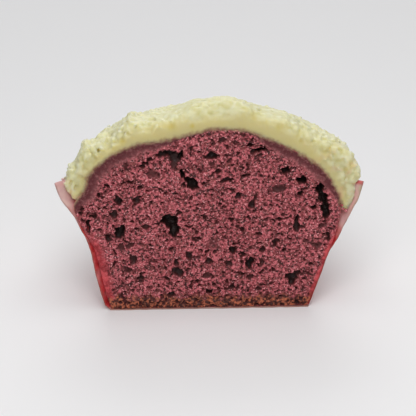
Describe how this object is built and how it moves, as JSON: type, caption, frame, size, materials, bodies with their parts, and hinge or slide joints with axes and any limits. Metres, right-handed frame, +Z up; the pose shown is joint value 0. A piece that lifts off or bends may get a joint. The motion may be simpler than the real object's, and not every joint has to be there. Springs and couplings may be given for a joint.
{
  "type": "halved cupcake",
  "caption": "Half of a frosted cupcake, cut straight down: open red sponge with a domed top, a shell of pale butter frosting, and its pleated paper case.",
  "frame": {"origin": "middle of the underside of the whole object's box; the case's base stands on Z = 0", "axes": "+Z up, the flat cut face looks towards -Y, +X to the right seen from the cut side"},
  "size_m": [0.0776, 0.0388, 0.0536],
  "materials": {
    "case_paper": "thin pleated baking paper, pink, stained red by the cake",
    "sponge_crumb": "open red sponge crumb",
    "butter_frosting": "pale yellow butter frosting, rough outside and smeared where cut"
  },
  "bodies": {
    "root": {"paper_case": "case_paper", "sponge": "sponge_crumb", "frosting": "butter_frosting"}
  },
  "joints": []
}
